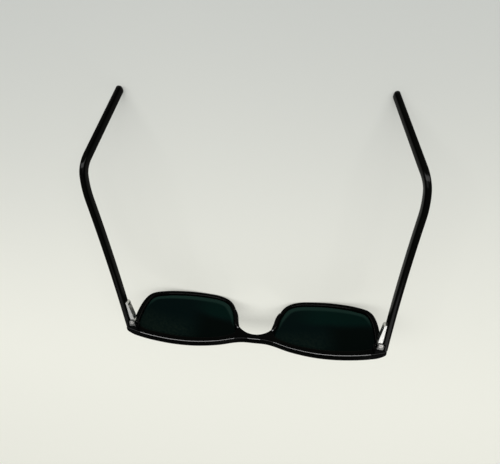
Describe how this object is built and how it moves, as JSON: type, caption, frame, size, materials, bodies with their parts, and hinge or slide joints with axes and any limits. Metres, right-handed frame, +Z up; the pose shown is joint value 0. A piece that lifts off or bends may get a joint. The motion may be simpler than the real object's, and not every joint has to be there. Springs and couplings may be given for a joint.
{
  "type": "sunglasses",
  "caption": "Full-rim rectangular plastic sunglasses with dark lenses, a low bridge, slim bent temples and sprung folding hinges.",
  "frame": {"origin": "on the surface that the glasses stand on, under the middle of the back face of the bridge", "axes": "+X towards the wearer's left, +Y back along the temples, +Z up"},
  "size_m": [0.1601, 0.1395, 0.0414],
  "materials": {
    "frame_plastic": "polished black",
    "pad_plastic": "polished black",
    "lens_tint": "smooth, dark green tint that lightens to the lower edge",
    "hinge_metal": "satin nickel",
    "core_metal": "drawn wire",
    "spring_steel": "drawn wire",
    "screw_metal": "turned"
  },
  "bodies": {
    "front": {"front_frame": "frame_plastic", "lens_left": "lens_tint", "lens_right": "lens_tint", "nose_pad_left": "pad_plastic", "nose_pad_right": "pad_plastic", "front_hinge_leaf_left": "hinge_metal", "front_hinge_leaf_right": "hinge_metal", "hinge_screw_left": "screw_metal", "hinge_screw_right": "screw_metal"},
    "hinge_slider_left": {"hinge_slider_left": "hinge_metal", "slider_stop_left": "hinge_metal"},
    "temple_left": {"temple_left": "frame_plastic", "core_wire_left": "core_metal", "hinge_housing_left": "hinge_metal", "hinge_spring_left": "spring_steel"},
    "hinge_slider_right": {"hinge_slider_right": "hinge_metal", "slider_stop_right": "hinge_metal"},
    "temple_right": {"temple_right": "frame_plastic", "core_wire_right": "core_metal", "hinge_housing_right": "hinge_metal", "hinge_spring_right": "spring_steel"}
  },
  "joints": [
    {"name": "fold_left", "type": "hinge", "parent": "front", "child": "hinge_slider_left", "pos_m": [0.06653, 0.01361, 0.03849], "axis": [-0.0019, 0.0537, 0.9986], "range_deg": [-4.1, 78]},
    {"name": "flex_left", "type": "slide", "parent": "hinge_slider_left", "child": "temple_left", "axis": [0.0575, 0.9969, -0.0535], "range_m": [0, 0.0012], "stiffness_N_per_m": 1500, "springref_m": -0.001, "deforming": ["hinge_spring_left"]},
    {"name": "fold_right", "type": "hinge", "parent": "front", "child": "hinge_slider_right", "pos_m": [-0.06653, 0.01361, 0.03849], "axis": [-0.0019, -0.0537, -0.9986], "range_deg": [0, 93]},
    {"name": "flex_right", "type": "slide", "parent": "hinge_slider_right", "child": "temple_right", "axis": [-0.1288, 0.9903, -0.0531], "range_m": [0, 0.0012], "stiffness_N_per_m": 1500, "springref_m": -0.001, "deforming": ["hinge_spring_right"]}
  ]
}
